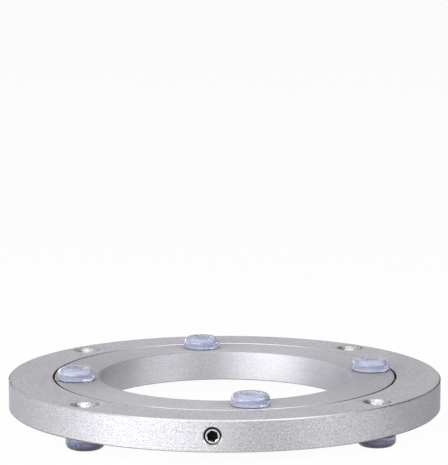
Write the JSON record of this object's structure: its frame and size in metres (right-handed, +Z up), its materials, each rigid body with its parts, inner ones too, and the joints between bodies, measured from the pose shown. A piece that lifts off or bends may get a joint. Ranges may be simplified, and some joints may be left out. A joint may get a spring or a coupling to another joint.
{
  "type": "lazy susan bearing",
  "caption": "Flat ring-shaped turntable bearing: an inner ring runs on caged steel balls inside an outer ring, with rubber feet below and rubber bumpers on top.",
  "frame": {"origin": "on the surface that the feet stand on, under the middle of the bore", "axes": "+Z up along the axis of rotation, +X to the right and +Y away from the side with the ball filling screw, within 3 degrees"},
  "size_m": [0.12, 0.12, 0.0151],
  "materials": {
    "blasted_aluminium": "turned, fine blasted, clear anodised",
    "black_steel": "black oxide",
    "clear_rubber": "soft translucent, faint blue tint, satin",
    "white_nylon": "moulded natural white nylon",
    "ball_steel": "polished bearing steel"
  },
  "bodies": {
    "base": {"outer_ring": "blasted_aluminium", "grub_screw": "black_steel", "rubber_feet": "clear_rubber"},
    "turntable": {"inner_ring": "blasted_aluminium", "rubber_bumpers": "clear_rubber"},
    "cage": {"cage_link_01": "white_nylon", "cage_link_02": "white_nylon", "cage_link_03": "white_nylon", "cage_link_04": "white_nylon", "cage_link_05": "white_nylon", "cage_link_06": "white_nylon", "cage_link_07": "white_nylon", "cage_link_08": "white_nylon", "cage_link_09": "white_nylon", "cage_link_10": "white_nylon", "cage_link_11": "white_nylon", "cage_link_12": "white_nylon", "cage_link_13": "white_nylon", "cage_link_14": "white_nylon", "cage_link_15": "white_nylon", "cage_link_16": "white_nylon", "cage_link_17": "white_nylon", "cage_link_18": "white_nylon", "cage_link_19": "white_nylon", "cage_link_20": "white_nylon", "cage_link_21": "white_nylon", "cage_link_22": "white_nylon", "cage_link_23": "white_nylon", "cage_link_24": "white_nylon", "ball_01": "ball_steel", "ball_02": "ball_steel", "ball_03": "ball_steel", "ball_04": "ball_steel", "ball_05": "ball_steel", "ball_06": "ball_steel", "ball_07": "ball_steel", "ball_08": "ball_steel", "ball_09": "ball_steel", "ball_10": "ball_steel", "ball_11": "ball_steel", "ball_12": "ball_steel", "ball_13": "ball_steel", "ball_14": "ball_steel", "ball_15": "ball_steel", "ball_16": "ball_steel", "ball_17": "ball_steel", "ball_18": "ball_steel", "ball_19": "ball_steel", "ball_20": "ball_steel", "ball_21": "ball_steel", "ball_22": "ball_steel", "ball_23": "ball_steel", "ball_24": "ball_steel"}
  },
  "joints": [
    {"name": "turntable_spin", "type": "hinge", "parent": "base", "child": "turntable", "pos_m": [0, 0, 0.00755], "axis": [0, 0, 1], "continuous": true},
    {"name": "cage_spin", "type": "hinge", "parent": "base", "child": "cage", "pos_m": [0, 0, 0.00755], "axis": [0, 0, 1], "continuous": true}
  ],
  "couplings": [
    {"joint": "cage_spin", "follows": "turntable_spin", "ratio": 0.4851}
  ]
}
